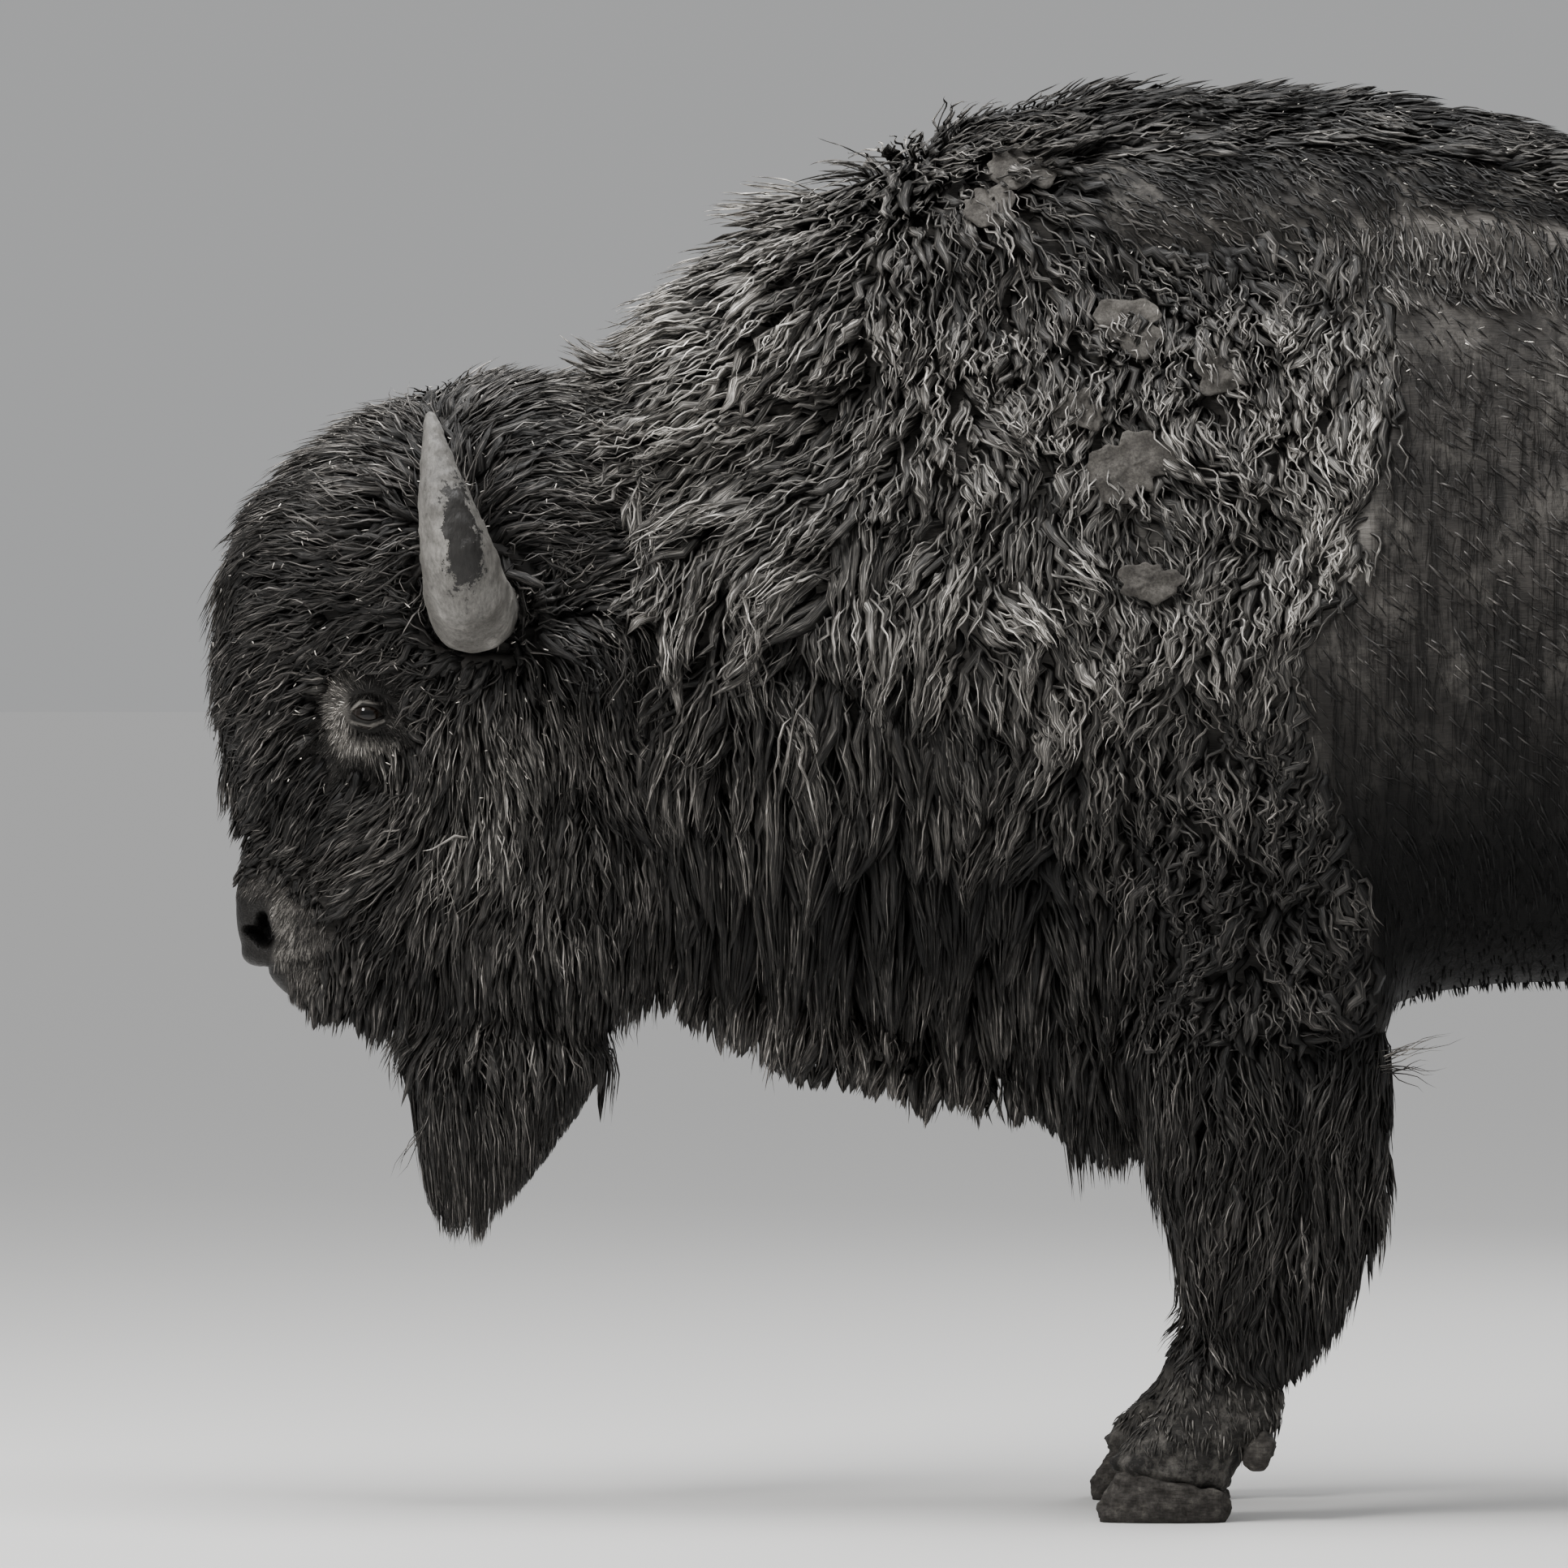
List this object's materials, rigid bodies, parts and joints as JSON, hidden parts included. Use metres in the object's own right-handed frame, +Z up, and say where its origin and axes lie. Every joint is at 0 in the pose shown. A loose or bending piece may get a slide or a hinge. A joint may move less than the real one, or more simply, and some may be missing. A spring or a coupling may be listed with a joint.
{
  "type": "american bison bull, standing",
  "caption": "Life-size still model of a standing American bison bull, head held low, with a humped woolly forequarter, short smooth hindquarter, beard and upcurved horns.",
  "frame": {"origin": "on the floor under the middle of the animal's length and width", "axes": "+Z up, the head faces -X, the animal's left side faces -Y"},
  "size_m": [2.95, 0.754, 1.8],
  "materials": {
    "coat_mop": "dense, fine, dark fluffy hair",
    "coat_wool": "matted, dusty, curly wool",
    "hide_short": "short flat hair over wrinkled skin",
    "nose": "bare, moist, grainy skin",
    "horn": "worn, mottled grey horn",
    "hoof": "worn horn with dried mud",
    "eye": "wet, dark brown eyeball"
  },
  "bodies": {
    "root": {"head": "coat_mop", "lower_jaw": "coat_mop", "beard": "coat_mop", "ear_left": "coat_mop", "ear_right": "coat_mop", "tail_tuft": "coat_mop", "neck": "coat_wool", "shoulders": "coat_wool", "foreleg_left_upper": "coat_wool", "foreleg_left_lower": "coat_wool", "foreleg_right_upper": "coat_wool", "foreleg_right_lower": "coat_wool", "barrel": "hide_short", "rump": "hide_short", "tail": "hide_short", "hindleg_left_upper": "hide_short", "hindleg_left_lower": "hide_short", "hindleg_right_upper": "hide_short", "hindleg_right_lower": "hide_short", "muzzle": "nose", "horn_left": "horn", "horn_right": "horn", "foreleg_left_claw_left": "hoof", "foreleg_left_claw_right": "hoof", "foreleg_left_dewclaw_left": "hoof", "foreleg_left_dewclaw_right": "hoof", "foreleg_right_claw_left": "hoof", "foreleg_right_claw_right": "hoof", "foreleg_right_dewclaw_left": "hoof", "foreleg_right_dewclaw_right": "hoof", "hindleg_left_claw_left": "hoof", "hindleg_left_claw_right": "hoof", "hindleg_left_dewclaw_left": "hoof", "hindleg_left_dewclaw_right": "hoof", "hindleg_right_claw_left": "hoof", "hindleg_right_claw_right": "hoof", "hindleg_right_dewclaw_left": "hoof", "hindleg_right_dewclaw_right": "hoof", "eye_left": "eye", "eye_right": "eye"}
  },
  "joints": []
}
